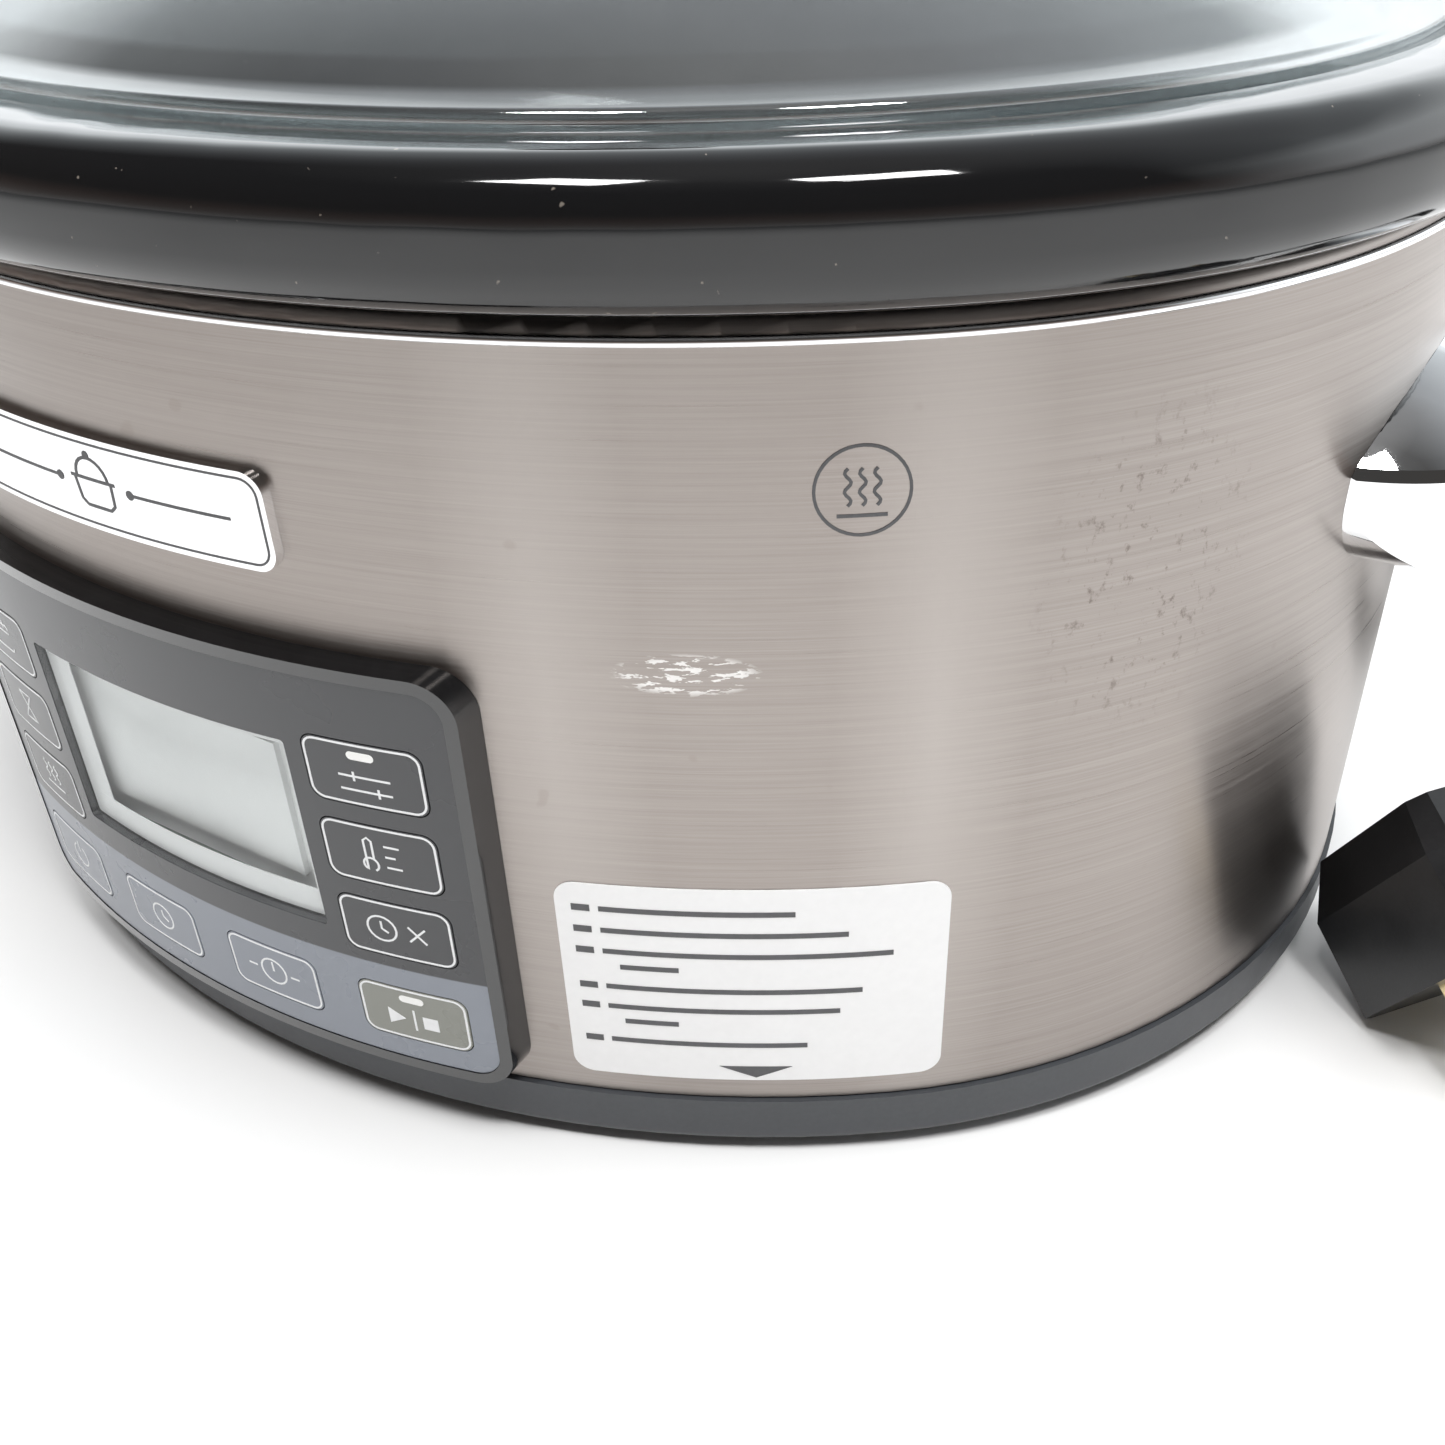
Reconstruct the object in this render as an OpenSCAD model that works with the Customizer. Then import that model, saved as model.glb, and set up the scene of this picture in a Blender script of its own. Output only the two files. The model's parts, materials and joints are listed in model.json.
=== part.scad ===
// Oval countertop slow cooker: steel housing on a plastic base, a lift-out glazed
// pot, a domed glass lid, a curved control panel with ten press keys and two side
// handles.  Millimetres, +Z up.  The origin is on the table under the middle of the
// oval, +X runs along the oval's length and the control panel faces -Y.

/* [Housing] */
// Length of the steel wall, end to end
body_l = 370; // [350:1:390]
// Distance from the middle of the oval to the centre of each of its end arcs
end_x = 51; // [48:3:54]
// Height above the table of the top of the steel wall
wall_top = 167.5; // [165:0.5:175]
// Thickness of the steel wall
wall_t = 0.9; // [0.7:0.1:1.2]
// Height of the plastic base band above the table
band_top = 14.5; // [13:0.5:15]
// Height of the rubber feet below the base band
foot_h = 3; // [2:0.5:4]

/* [Pot] */
// How far the glazed rim overhangs the steel wall
rim_out = 9; // [8:0.5:10]
// Wall thickness of the stoneware
pot_t = 9; // [8:0.5:10]
// Depth of the pot inside, below its top ledge
pot_depth = 126; // [120:1:128]

/* [Lid] */
// Rise of the glass dome above its edge
dome_h = 38; // [30:1:44]
// Thickness of the glass
glass_t = 4; // [3.5:0.5:5]
// Diameter of the lid's knob
knob_d = 52; // [44:1:58]

/* [Control panel] */
// Width of the panel frame
panel_w = 138; // [136:1:140]
// Height of the panel frame
panel_h = 94; // [92:1:96]
// How far the panel stands out from the steel wall
panel_out = 5.4; // [5:0.1:6]
// Width of a key
key_w = 23; // [20:0.5:24]
// Height of a key
key_h = 13.6; // [12:0.2:14]
// Clearance around a key
key_gap = 0.25; // [0.2:0.05:0.35]

/* [Handles] */
// How far a handle stands out from the end of the wall
handle_out = 25; // [22:1:30]
// Width of a handle along the wall
handle_w = 75; // [70:1:80]

/* [Cord] */
// Diameter of the mains cord
cord_d = 7; // [6.5:0.1:7.5]

/* [Hidden] */

$fn = 180;
eps = 0.01;
far = 400;

// Four-arc oval: end arcs of radius end_r about (+-end_x, 0), side arcs of radius
// side_r about (0, +-side_y).  The centres and the middle form a 3-4-5 triangle, so
// the arcs share a normal where they meet.
half_l = body_l / 2;
end_r = half_l - end_x;
side_y = end_x * 4 / 3;
side_r = end_r + end_x * 5 / 3;
half_d = side_r - side_y;
join_a = atan2(4, 3);

// Heights
band_z = foot_h;
wall_z = band_top + 0.4;
shelf_z = band_z + 5;
cover_t = 2;
cover_z = shelf_z - cover_t;
lip_r = 2.6;
lip_z = wall_top + lip_r;
flange_t = 1;
rim_z = lip_z + flange_t + 0.4;
ledge_z = rim_z + 21.5;
seat_z = ledge_z - 2;
floor_z = ledge_z - pot_depth;
pot_z = floor_z - pot_t;
well_t = 1;
well_r = 14;
well_z = pot_z - 6;
flange_w = 14;
heater_z = well_z + 18;
heater_h = 34;
heater_t = 1.8;
strap_t = 0.6;
strap_w = 6;

// Base band, cover and fasteners
band_t = 3;
band_out = 1;
band_r = 2;
band_lip = 6;
shelf_w = 16;
shelf_t = 3;
vent_pitch = 9;
vent_y = 60;
vent_w = 3;
vent_l = 30;
screw_r = 1.6;
screw_head_r = 3.4;
screw_head_h = 1.6;
screw_in = 11;
foot_r = 10;
foot_stud_r = 3;
post_r = 5;
screw_spots = [for (a = [20, 90, 160, 200, 270, 340])
    [(half_l - screw_in) * cos(a), (half_d - screw_in) * sin(a)]];
foot_spots = [for (x = [-1, 1], y = [-1, 1]) [x * 126, y * 62]];
post_spots = [[130, 0], [-130, 0], [0, 95], [0, -95]];

// Distances outside (+) or inside (-) the wall line
well_out = -19;
pot_out = -25;
pot_taper = 12;
seat_edge = -9.2;
lid_edge = -11;
gallery_in = -23;
core_d = -100;

// Control panel
panel_z = band_top + 2.5;
panel_rim = 2.5;
face_out = panel_out - 0.2;
face_t = 1.6;
win_w = 68.6;
win_h = 42.8;
win_z = 72.2;
side_key_x = 49.8;
side_key_z = 89.6;
side_key_step = 17.9;
row_key_step = 33.2;
row_key_z = 31.9;
key_r = 2.6;
key_back = 0.6;
key_flange = 0.9;
panel_mid = panel_z + panel_h / 2;
panel_lap = 4.5;
skirt_w = panel_w - 2 * panel_lap - 1;
skirt_h = panel_h - 2 * panel_lap - 1;
skirt_t = 1.5;
skirt_r = 3.6;
key_lap = 0.8;
row_x = [for (i = [0 : 3]) (i - 1.5) * row_key_step];
function side_z(i) = side_key_z - i * side_key_step;
key_spots = concat(
    [for (i = [0 : 2]) [-side_key_x, side_z(i)]],
    [for (i = [0 : 2]) [side_key_x, side_z(i)]],
    [for (i = [0 : 3]) [row_x[i], row_key_z]]
);

// Electronics
board_y = -140;
board_t = 1.6;
board_w = 116;
board_h = 72;
switch_gap = 1.4;
cell_y = board_y + board_t;
cell_z = 45;
cell_r = 10;
cell_t = 3.2;
lcd_y = -149.3;
lcd_rise = 1.2;
lcd_side = 7;
lcd_top = 5;
pcb_z = 16;

// Badge and label
badge_w = 77;
badge_h = 17.8;
badge_z = 134.2;
label_w = 71;
label_h = 48;
label_z = 44;
label_a = 30;

// Handles
handle_r = 38.6;
handle_cx = half_l + handle_out - handle_r;
handle_z = 107.4;
handle_h = 32.6;
handle_c = 15;
handle_edge_z = 127;
handle_top = 143.5;
handle_dome = 55.2;
handle_t = 3;
core_t = 4;
grip_cut = 12;
handle_bolts = [-20, 20];
bolt_z = 16;

// Lid
lid_x = half_l + lid_edge;
lid_k = (half_d + lid_edge) / lid_x;
lid_z = seat_z + 0.4;
lid_flat = 8;
dome_x = lid_x - lid_flat;
dome_r = (dome_x * dome_x + dome_h * dome_h) / (2 * dome_h);
dome_z = lid_z + glass_t + dome_h;
stud_r = 2.5;
washer_t = 1.2;
knob_h = 29;

// Cord outlet on the back wall
outlet_a = 19;
outlet_z = 30;
outlet_r = 6;
boot_l = 30;
boot_r = 6.6;
collar_r = 8;
collar_t = 3;
collar_in = 5;
neck_l = wall_t + 0.3;
cord_r = cord_d / 2;

// Coil of the spare cord, and the cord's own points on either side of it
coil_c = [239, 165];
coil_r = 42;
coil_turns = 2.25;
coil_step = 7.2;
coil_top = cord_r + coil_turns * coil_step;
tail_pts = [
    [81.1, 167.4, 30], [85, 178.7, 28.5], [90.5, 192, 22], [99, 203.5, 12.5],
    [112, 211.5, 5.5], [128, 215.5, 3.5], [147, 216, 3.5], [167, 213, 3.5],
    [188, 210.5, 3.5], [212, 208, 3.5], [226, 207.2, 3.5], [239, 207, 3.5]
];
lead_pts = [
    [281, 165, 19.7], [281.3, 151, 18.6], [281.5, 136, 14.5], [281.5, 121, 8.5],
    [281, 106, 4.2], [280, 91, 3.5], [278, 76, 5], [273.8, 61.5, 11],
    [267.5, 49, 19.5], [259.3, 37.9, 25.8], [251.8, 29.8, 27.1]
];

// Plug: leans on one long edge of its pin face and on its pin tips
plug_w = 50;
plug_l = 50;
plug_t = 22;
plug_back = 12;
plug_taper = 0.8;
plug_corner = [203.2, -27.4];
plug_turn = 52.3;
plug_lean = 31;
pin_gap = 22.2;
pin_t = 4;
pin_w = 6.4;
pin_l = 17.7;
earth_l = 22.7;
earth_w = 8;
earth_x = 10;
fuse_x = 15.5;
fuse_l = 13;
fuse_w = 12;

// ---------------------------------------------------------------- helpers

// Solid flat oval, grown by off outside the wall line
module oval(off) {
    for (s = [-1, 1]) {
        translate([s * end_x, 0]) circle(end_r + off);
        intersection() {
            translate([0, s * side_y]) circle(side_r + off);
            polygon([
                [0, s * side_y],
                [far * cos(join_a), s * (side_y - far * sin(join_a))],
                [0, -s * far],
                [-far * cos(join_a), s * (side_y - far * sin(join_a))]
            ]);
        }
    }
}

// Sweeps a profile round the oval: x is the distance outside the wall line
module around() {
    for (s = [0, 180]) rotate([0, 0, s]) {
        translate([end_x, 0, 0]) rotate([0, 0, -join_a])
            rotate_extrude(angle = 2 * join_a) translate([end_r, 0]) children();
        translate([0, side_y, 0]) rotate([0, 0, 180 + join_a])
            rotate_extrude(angle = 180 - 2 * join_a) translate([side_r, 0]) children();
    }
}

// Upright band of the oval between two distances and two heights
module band(d0, d1, z0, z1) {
    around() translate([d0, z0]) square([d1 - d0, z1 - z0]);
}

module rounded(w, h, c) {
    square([w - 2 * c, h], center = true);
    square([w, h - 2 * c], center = true);
    for (x = [-1, 1], y = [-1, 1])
        translate([x * (w / 2 - c), y * (h / 2 - c)]) circle(c, $fn = 48);
}

// Rounded rectangle cut out of the front wall's curve between two distances
module front(d0, d1, x, z, w, h, c) {
    intersection() {
        translate([0, side_y, z - h / 2 - 1]) difference() {
            cylinder(r = side_r + d1, h = h + 2);
            translate([0, 0, -1]) cylinder(r = side_r + d0, h = h + 4);
        }
        translate([x, -side_y, z]) rotate([90, 0, 0]) linear_extrude(far)
            rounded(w, h, c);
    }
}

function face_y(x, d) = side_y - sqrt((side_r + d) * (side_r + d) - x * x);

// Smooth path through the given points
function spline(p0, p1, p2, p3, t) =
    0.5 * (2 * p1 + (p2 - p0) * t + (2 * p0 - 5 * p1 + 4 * p2 - p3) * t * t
        + (3 * p1 - p0 - 3 * p2 + p3) * t * t * t);
function smooth_path(p, n) = let (m = len(p) - 1) [
    for (i = [0 : m - 1], j = [0 : n - 1])
        spline(p[max(i - 1, 0)], p[i], p[i + 1], p[min(i + 2, m)], j / n),
    p[m]
];
function unit(v) = v / norm(v);
function tangent(q, i) = unit(q[min(i + 1, len(q) - 1)] - q[max(i - 1, 0)]);
function ring(q, i, r, n) = let (
    t = tangent(q, i),
    u = unit(cross([0, 0, 1], t)),
    v = cross(t, u)
) [for (j = [0 : n - 1]) q[i] + r * (cos(360 * j / n) * u + sin(360 * j / n) * v)];

module tube(points, r, n = 10, steps = 2) {
    q = smooth_path(points, steps);
    m = len(q);
    polyhedron(
        points = [for (i = [0 : m - 1]) each ring(q, i, r, n)],
        faces = [
            [for (j = [0 : n - 1]) j],
            for (i = [0 : m - 2], j = [0 : n - 1]) each [
                [i * n + j, (i + 1) * n + j, (i + 1) * n + (j + 1) % n],
                [i * n + j, (i + 1) * n + (j + 1) % n, i * n + (j + 1) % n]
            ],
            [for (j = [0 : n - 1]) (m - 1) * n + n - 1 - j]
        ]
    );
}

// ---------------------------------------------------------------- housing

module outer_shell() {
    color([0.66, 0.62, 0.59]) difference() {
        around() {
            translate([-wall_t, wall_z]) square([wall_t, wall_top - wall_z]);
            translate([-lip_r, wall_top]) intersection() {
                difference() {
                    circle(lip_r, $fn = 48);
                    circle(lip_r - wall_t, $fn = 48);
                }
                square(lip_r);
            }
            translate([-9, lip_z - wall_t]) square([9 - lip_r, wall_t]);
        }
        panel_hole();
        outlet_place() cylinder(r = outlet_r, h = 20, center = true);
        for (s = [0, 180]) rotate([0, 0, s]) handle_holes(2.2);
    }
}

// Opening in the wall behind the panel
module panel_hole() {
    front(-lip_r, panel_out, 0, panel_mid,
        panel_w - 2 * panel_lap, panel_h - 2 * panel_lap, skirt_r + 0.4);
}

// Band with a rounded lower edge, a shelf for the cover and a lip inside the wall
module base_ring() {
    color([0.2, 0.21, 0.22]) difference() {
        around() {
            translate([-band_t, band_z + band_r])
                square([band_t + band_out, band_top - band_z - band_r]);
            translate([-band_t, band_z]) square([band_t + band_out - band_r, band_r]);
            translate([band_out - band_r, band_z + band_r]) intersection() {
                circle(band_r, $fn = 48);
                translate([0, -band_r]) square(band_r);
            }
            translate([-shelf_w, shelf_z]) square([shelf_w - band_t + eps, shelf_t]);
            translate([-band_t - 0.2, band_top - eps]) square([2, band_lip]);
        }
        for (p = screw_spots) translate([p[0], p[1], cover_z]) cylinder(r = screw_r, h = 20);
    }
}

module bottom_cover() {
    color([0.16, 0.16, 0.17]) difference() {
        translate([0, 0, cover_z]) linear_extrude(cover_t) oval(-3.4);
        for (i = [-4 : 4], s = [-1, 1])
            translate([i * vent_pitch, s * vent_y, cover_z - 1])
                linear_extrude(cover_t + 2) rounded(vent_w, vent_l, vent_w / 2 - 0.1);
        for (p = screw_spots) translate([p[0], p[1], cover_z - 1])
            cylinder(r = screw_r + 0.2, h = cover_t + 2);
        for (p = foot_spots) translate([p[0], p[1], cover_z - 1])
            cylinder(r = foot_stud_r, h = cover_t + 2);
    }
}

module rubber_feet() {
    color([0.08, 0.08, 0.08]) for (p = foot_spots) translate([p[0], p[1], 0]) {
        cylinder(r1 = foot_r - 1, r2 = foot_r, h = cover_z);
        cylinder(r = foot_stud_r, h = shelf_z + 1);
        translate([0, 0, shelf_z]) cylinder(r = foot_stud_r + 1.5, h = 2);
    }
}

module cover_screws() {
    color([0.7, 0.7, 0.72]) for (p = screw_spots)
        translate([p[0], p[1], cover_z - screw_head_h]) difference() {
            union() {
                cylinder(r = screw_head_r, h = screw_head_h);
                cylinder(r = screw_r, h = screw_head_h + cover_t + shelf_t);
            }
            for (t = [0, 90]) rotate([0, 0, t])
                translate([-2, -0.4, -1]) cube([4, 0.8, 1.8]);
        }
}

module heating_well() {
    side_z0 = well_z + well_r;
    color([0.72, 0.73, 0.74]) {
        around() {
            translate([well_out, lip_z]) square([flange_w, flange_t]);
            translate([well_out - well_t, side_z0])
                square([well_t, lip_z + flange_t - side_z0]);
            translate([well_out - well_r, side_z0]) intersection() {
                difference() {
                    circle(well_r, $fn = 60);
                    circle(well_r - well_t, $fn = 60);
                }
                translate([0, -well_r]) square(well_r);
            }
            translate([core_d, well_z]) square([well_out - well_r - core_d, well_t]);
        }
        translate([0, 0, well_z]) linear_extrude(well_t) oval(core_d + 1);
    }
}

module well_posts() {
    color([0.6, 0.6, 0.6]) for (p = post_spots) translate([p[0], p[1], shelf_z])
        difference() {
            cylinder(r = post_r, h = well_z - shelf_z);
            translate([0, 0, -1]) cylinder(r = screw_r, h = 14);
        }
}

module heater_band() {
    color([0.75, 0.7, 0.6])
        band(well_out + 0.2, well_out + heater_t, heater_z, heater_z + heater_h);
}

module band_clamp() {
    strap_out = well_out + heater_t + strap_t;
    color([0.7, 0.7, 0.7]) {
        for (z = [4, heater_h - 4 - strap_w])
            band(well_out + heater_t, strap_out, heater_z + z, heater_z + z + strap_w);
        translate([0, half_d + strap_out + 3, heater_z + heater_h / 2])
            cube([18, 6, heater_h - 6], center = true);
    }
}

module thermal_fuse() {
    color([0.85, 0.82, 0.75]) translate([-60, -30, well_z - 4]) rotate([0, 90, 0]) {
        cylinder(r = 2, h = 12);
        translate([0, 0, -14]) cylinder(r = 0.5, h = 40);
    }
    color([0.7, 0.7, 0.7]) translate([-56, -33.5, well_z - 2]) cube([4, 7, 2]);
}

module temperature_sensor() {
    color([0.8, 0.8, 0.8]) translate([0, 0, well_z - 8]) {
        cylinder(r = 5, h = 8);
        cylinder(r = 8, h = 2);
    }
}

// ---------------------------------------------------------------- electronics

module power_board() {
    color([0.55, 0.42, 0.2]) translate([20, 20, pcb_z]) cube([100, 62, board_t]);
}

module board_standoffs() {
    color([0.85, 0.85, 0.82]) for (x = [26, 114], y = [26, 76])
        translate([x, y, shelf_z]) cylinder(r = 3, h = pcb_z - shelf_z);
}

module transformer() {
    color([0.2, 0.2, 0.22]) translate([32, 40, pcb_z + board_t]) {
        cube([28, 24, 6]);
        translate([3, 0, 6]) cube([22, 24, 14]);
    }
}

module relay() {
    color([0.15, 0.3, 0.6]) translate([78, 34, pcb_z + board_t]) cube([19, 15, 16]);
}

module buzzer() {
    color([0.1, 0.1, 0.1]) translate([88, 66, pcb_z + board_t]) difference() {
        cylinder(r = 6, h = 9);
        translate([0, 0, 6]) cylinder(r = 1.2, h = 4);
    }
}

module terminal_block() {
    color([0.9, 0.9, 0.88]) translate([56, 92, shelf_z]) difference() {
        cube([36, 16, 16]);
        for (i = [0 : 2]) translate([6 + 12 * i, 8, 6]) cylinder(r = 2, h = 12);
    }
}

module control_board() {
    color([0.1, 0.35, 0.2]) translate([-board_w / 2, board_y, panel_mid - board_h / 2])
        cube([board_w, board_t, board_h]);
}

module key_switches() {
    color([0.15, 0.15, 0.15]) for (p = key_spots) {
        tip_y = face_y(p[0], key_back - key_flange) + switch_gap;
        translate([p[0] - 3, board_y - 1.5, p[1] - 3]) cube([6, 1.5, 6]);
        translate([p[0], tip_y, p[1]]) rotate([-90, 0, 0])
            cylinder(r = 1.7, h = board_y - tip_y, $fn = 48);
    }
}

module battery_holder() {
    color([0.12, 0.12, 0.13]) translate([0, cell_y, cell_z]) rotate([-90, 0, 0]) difference() {
        cylinder(r = cell_r + 1.6, h = cell_t + 1.4);
        translate([0, 0, 1]) cylinder(r = cell_r + 0.2, h = 5);
    }
}

module coin_cell() {
    color([0.8, 0.8, 0.8]) translate([0, cell_y + 1, cell_z]) rotate([-90, 0, 0])
        cylinder(r = cell_r, h = cell_t);
}

// Display carrier with the raised glass of the display on it
module lcd_module() {
    color([0.78, 0.79, 0.77]) translate([0, lcd_y, win_z]) {
        translate([-win_w / 2 + 1, 0, -win_h / 2 + 1]) cube([win_w - 2, 2.4, win_h - 2]);
        translate([-win_w / 2 + lcd_side, -lcd_rise, -win_h / 2 + lcd_side])
            cube([win_w - 2 * lcd_side, lcd_rise + eps, win_h - lcd_side - lcd_top]);
    }
}

// ---------------------------------------------------------------- panel

module key_holes(d0, d1, gap) {
    for (p = key_spots)
        front(d0, d1, p[0], p[1], key_w + 2 * gap, key_h + 2 * gap, key_r + gap);
}

module panel_bezel() {
    color([0.03, 0.03, 0.035]) difference() {
        union() {
            front(0, panel_out, 0, panel_mid, panel_w, panel_h, 8);
            front(-2.4, eps, 0, panel_mid, skirt_w, skirt_h, skirt_r);
        }
        front(face_out - face_t - 0.05, far / 10, 0, panel_mid,
            panel_w - 2 * panel_rim, panel_h - 2 * panel_rim, 5.6);
        front(-4, key_back + 1.1, 0, panel_mid,
            skirt_w - 2 * skirt_t, skirt_h - 2 * skirt_t, skirt_r - skirt_t);
        key_holes(-1, 9, 0.5);
        front(-1, 9, 0, win_z, win_w - 1, win_h - 1, 1);
    }
}

module panel_face() {
    color([0.27, 0.27, 0.28]) difference() {
        front(face_out - face_t, face_out, 0, panel_mid,
            panel_w - 2 * panel_rim - 0.3, panel_h - 2 * panel_rim - 0.3, 5.4);
        key_holes(1, 9, key_gap);
        front(1, 9, 0, win_z, win_w, win_h, 0.8);
    }
}

module display_window() {
    color([0.85, 0.87, 0.86, 0.4])
        front(face_out - face_t, face_out - 0.1, 0, win_z, win_w - 0.2, win_h - 0.2, 0.7);
}

module panel_key(i) {
    p = key_spots[i];
    color([0.3, 0.3, 0.31]) {
        front(key_back - eps, face_out + 0.05, p[0], p[1], key_w, key_h, key_r);
        front(key_back - key_flange, key_back, p[0], p[1],
            key_w + 2 * key_lap, key_h + 2 * key_lap, key_r + key_lap);
    }
}

module panel_screws() {
    color([0.7, 0.7, 0.72]) for (x = [-1, 1], z = [-1, 1])
        translate([x * (board_w / 2 - 4), cell_y, panel_mid + z * (board_h / 2 - 4)])
            rotate([-90, 0, 0]) cylinder(r = 2.6, h = 2);
}

module badge_plate() {
    color([0.9, 0.9, 0.9]) front(0, 1.8, 0, badge_z, badge_w, badge_h, 4);
}

module info_label() {
    color([0.95, 0.95, 0.95]) intersection() {
        band(0, 0.3, label_z - label_h, label_z + label_h);
        translate([0, side_y, label_z]) rotate([90, 0, label_a]) linear_extrude(far)
            rounded(label_w, label_h, 4);
    }
}

// ---------------------------------------------------------------- handles

// Domed handle body shrunk by g all round, with a slot of depth cut down through its floor
module handle_form(g, cut) {
    intersection() {
        translate([handle_cx, 0, 0]) rotate_extrude() intersection() {
            polygon([
                [0, handle_z - cut],
                [handle_r - g - 1.5, handle_z - cut],
                [handle_r - g, handle_z - cut + 1.5],
                [handle_r - g, handle_edge_z - g],
                [handle_r - g - 1.2, handle_edge_z - g + 1.9],
                [handle_r - g - 1.2, handle_top],
                [0, handle_top]
            ]);
            translate([0, handle_top - handle_dome]) circle(handle_dome - g, $fn = 240);
        }
        translate([0, 0, handle_z + handle_h / 2]) rotate([90, 0, 90]) linear_extrude(far) {
            rounded(handle_w - 2 * g, handle_h - 2 * g, handle_c - g);
            translate([handle_c - handle_w / 2, -handle_h / 2 - cut])
                square([handle_w - 2 * handle_c, handle_h / 2 + cut]);
            translate([g - handle_w / 2, 0]) square([handle_w - 2 * g, handle_h]);
        }
    }
}

module handle() {
    color([0.85, 0.85, 0.86]) difference() {
        handle_form(0, 0);
        handle_form(handle_t, grip_cut);
        wall_cut(0);
    }
}

module wall_cut(off) {
    linear_extrude(far) oval(off);
}

module handle_core() {
    color([0.1, 0.1, 0.1]) difference() {
        intersection() {
            handle_form(handle_t + 0.1, -handle_t);
            linear_extrude(far) oval(core_t);
        }
        wall_cut(0);
        handle_holes(1.6);
    }
}

module handle_holes(r) {
    for (y = handle_bolts) translate([half_l - 30, y, handle_z + bolt_z]) rotate([0, 90, 0])
        cylinder(r = r, h = 60, $fn = 48);
}

module handle_screws() {
    color([0.7, 0.7, 0.72]) for (s = [0, 180], y = handle_bolts) rotate([0, 0, s])
        translate([end_x + sqrt(end_r * end_r - y * y) - 5, y, handle_z + bolt_z])
            rotate([0, 90, 0]) {
                cylinder(r = 3.4, h = 2, $fn = 48);
                cylinder(r = 1.5, h = 8, $fn = 48);
            }
}

// ---------------------------------------------------------------- pot and lid

pot_in = pot_out - pot_t;
low_r = 8;
top_r = 9;
heel_r = 20;

module stoneware_pot() {
    low_out = pot_out - pot_taper;
    heel_z = pot_z + heel_r;
    color([0.03, 0.03, 0.03]) {
        around() {
            // rim with a rounded outer edge and a gallery for the lid
            difference() {
                union() {
                    translate([rim_out - low_r, rim_z + low_r]) circle(low_r, $fn = 90);
                    translate([rim_out - top_r, ledge_z - top_r]) circle(top_r, $fn = 90);
                    translate([rim_out - low_r, rim_z + low_r])
                        square([low_r, ledge_z - top_r - rim_z - low_r]);
                    translate([pot_out, rim_z])
                        square([rim_out - low_r - pot_out, ledge_z - rim_z - top_r]);
                    translate([gallery_in, seat_z - 3])
                        square([rim_out - top_r - gallery_in, ledge_z - seat_z + 3]);
                }
                translate([gallery_in - 1, seat_z]) square([seat_edge - gallery_in + 1, 9]);
            }
            // tapering wall
            polygon([
                [gallery_in, seat_z], [gallery_in, rim_z + 1], [pot_out, rim_z],
                [low_out, heel_z], [low_out - pot_t, heel_z], [pot_in, seat_z - 7]
            ]);
            // rounded heel and floor
            translate([low_out - heel_r, heel_z]) intersection() {
                difference() {
                    circle(heel_r, $fn = 90);
                    circle(heel_r - pot_t, $fn = 90);
                }
                translate([0, -heel_r]) square(heel_r);
            }
            translate([core_d, pot_z]) square([low_out - heel_r - core_d, pot_t]);
        }
        translate([0, 0, pot_z]) linear_extrude(pot_t) oval(core_d + 1);
    }
}

module lid_glass() {
    color([0.8, 0.85, 0.85, 0.35]) scale([1, lid_k, 1]) difference() {
        rotate_extrude() difference() {
            union() {
                translate([0, dome_z - dome_r]) intersection() {
                    circle(dome_r, $fn = 360);
                    translate([0, dome_r - dome_h]) square([dome_x, dome_h]);
                }
                translate([0, lid_z]) square([lid_x - glass_t / 2, glass_t]);
                translate([lid_x - glass_t / 2, lid_z + glass_t / 2])
                    circle(glass_t / 2, $fn = 48);
            }
            translate([0, dome_z - dome_r]) circle(dome_r - glass_t, $fn = 360);
            translate([0, lid_z - 1]) square([dome_x - 16, 5]);
        }
        cylinder(r = stud_r + 0.5, h = far);
    }
}

module knob_washer() {
    color([0.3, 0.3, 0.3]) translate([0, 0, dome_z]) difference() {
        cylinder(r = 11, h = washer_t);
        translate([0, 0, -1]) cylinder(r = stud_r + 0.5, h = 10);
    }
}

module lid_knob() {
    knob_z = dome_z + washer_t;
    color([0.05, 0.05, 0.05]) translate([0, 0, knob_z]) difference() {
        rotate_extrude() {
            square([12, 6]);
            translate([0, 6]) square([10, 7]);
            translate([0, 12]) square([knob_d / 2 - 4, 9]);
            translate([knob_d / 2 - 4, 16]) circle(4, $fn = 48);
            translate([0, 16]) intersection() {
                translate([0, knob_h - 16 - 60]) circle(60, $fn = 180);
                square([knob_d / 2 - 3, knob_h - 16]);
            }
        }
        translate([0, 0, -1]) cylinder(r = stud_r - 0.2, h = 14);
    }
}

module knob_screw() {
    color([0.75, 0.75, 0.76]) translate([0, 0, dome_z - glass_t - 2.4]) difference() {
        union() {
            cylinder(r = 6, h = 2.2);
            cylinder(r = stud_r - 0.3, h = glass_t + washer_t + 10);
        }
        translate([-4, -0.5, -1]) cube([8, 1, 2]);
    }
}

// ---------------------------------------------------------------- cord and plug

module strain_relief() {
    color([0.06, 0.06, 0.06]) outlet_place() difference() {
        union() {
            translate([0, 0, -collar_in]) cylinder(r = collar_r, h = collar_in - neck_l);
            translate([0, 0, -neck_l - eps]) cylinder(r = outlet_r - 0.1, h = neck_l + 2 * eps);
            cylinder(r = collar_r, h = collar_t);
            translate([0, 0, collar_t - eps])
                cylinder(r1 = boot_r, r2 = cord_r + 1, h = boot_l - collar_t);
        }
        translate([0, 0, -collar_in - 1]) cylinder(r = cord_r, h = boot_l + collar_in);
    }
}

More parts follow.
